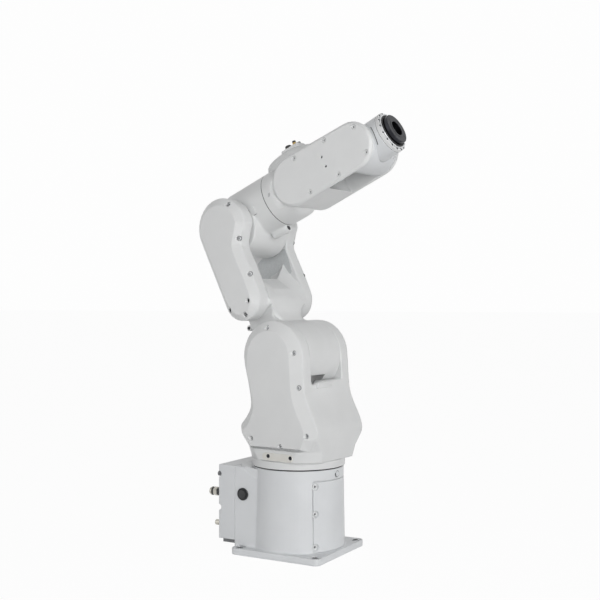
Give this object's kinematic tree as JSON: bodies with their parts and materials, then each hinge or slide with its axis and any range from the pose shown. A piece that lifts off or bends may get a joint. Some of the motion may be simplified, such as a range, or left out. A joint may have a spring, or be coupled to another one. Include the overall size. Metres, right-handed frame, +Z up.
{
  "type": "industrial robot arm",
  "caption": "Compact white six-axis industrial robot arm on a square foot, with a forked lower arm, a rolling forearm and a black bolt-circle tool flange.",
  "frame": {"origin": "middle of the foot's underside, on the turret axis", "axes": "+Z up along the turret axis, +X to the front of the base, away from the rear connectors"},
  "size_m": [0.4572, 0.229, 0.9029],
  "materials": {
    "white_paint": "smooth satin white enamel",
    "white_cover": "smooth satin white enamel",
    "connector_panel": "plain",
    "nickel": "nickel plated",
    "black_plastic": "matt black",
    "pale_plate": "plain pale plate",
    "brass": "plain",
    "seal_rubber": "matt black",
    "black_steel": "black oxide"
  },
  "bodies": {
    "base": {"base_casting": "white_paint", "base_front_cover": "white_cover", "rear_connector_cover": "white_cover", "rear_connector_panel": "connector_panel", "rear_cable_block": "black_plastic", "power_connector": "nickel", "signal_connector": "nickel", "base_air_fittings": "nickel", "brake_button": "black_plastic", "front_plug": "black_plastic"},
    "turret": {"swing_ring": "white_paint", "swing_casting": "white_paint", "swing_right_cover": "white_cover", "swing_left_cover": "white_cover", "stop_cover": "pale_plate"},
    "lower_arm": {"lower_arm_casting": "white_paint", "lower_arm_right_cover": "white_cover", "lower_arm_left_cover": "white_cover"},
    "elbow": {"elbow_casting": "white_paint", "elbow_rear_cap": "white_cover"},
    "forearm": {"forearm_casting": "white_paint", "forearm_right_cover": "white_cover", "forearm_left_cover": "white_cover", "forearm_connector_plate": "connector_panel", "forearm_signal_connector": "nickel", "forearm_air_fittings": "brass"},
    "wrist": {"wrist_casting": "white_paint", "wrist_clamp_ring": "white_paint", "wrist_seal_ring": "seal_rubber"},
    "flange": {"tool_flange": "black_steel"}
  },
  "joints": [
    {"name": "turret_turn", "type": "hinge", "parent": "base", "child": "turret", "pos_m": [0, 0, 0.181], "axis": [0, 0, 1], "range_deg": [-164.5, 175.5]},
    {"name": "shoulder_swing", "type": "hinge", "parent": "turret", "child": "lower_arm", "pos_m": [-0.00498, 0.00048, 0.412], "axis": [0.0958, 0.9954, 0], "range_deg": [-75.6, 134.4]},
    {"name": "elbow_swing", "type": "hinge", "parent": "lower_arm", "child": "elbow", "pos_m": [-0.12669, 0.0122, 0.68156], "axis": [-0.0958, -0.9954, 0], "range_deg": [-68, 202]},
    {"name": "forearm_roll", "type": "hinge", "parent": "elbow", "child": "forearm", "pos_m": [-0.04863, 0.00468, 0.74688], "axis": [0.9203, -0.0886, 0.3811], "range_deg": [-270, 270]},
    {"name": "wrist_tilt", "type": "hinge", "parent": "forearm", "child": "wrist", "pos_m": [0.16451, -0.01584, 0.83513], "axis": [-0.0958, -0.9954, 0], "range_deg": [-133.3, 126.7]},
    {"name": "flange_roll", "type": "hinge", "parent": "wrist", "child": "flange", "pos_m": [0.23986, -0.0231, 0.87156], "axis": [0.8969, -0.0864, 0.4337], "range_deg": [-400, 400]}
  ]
}
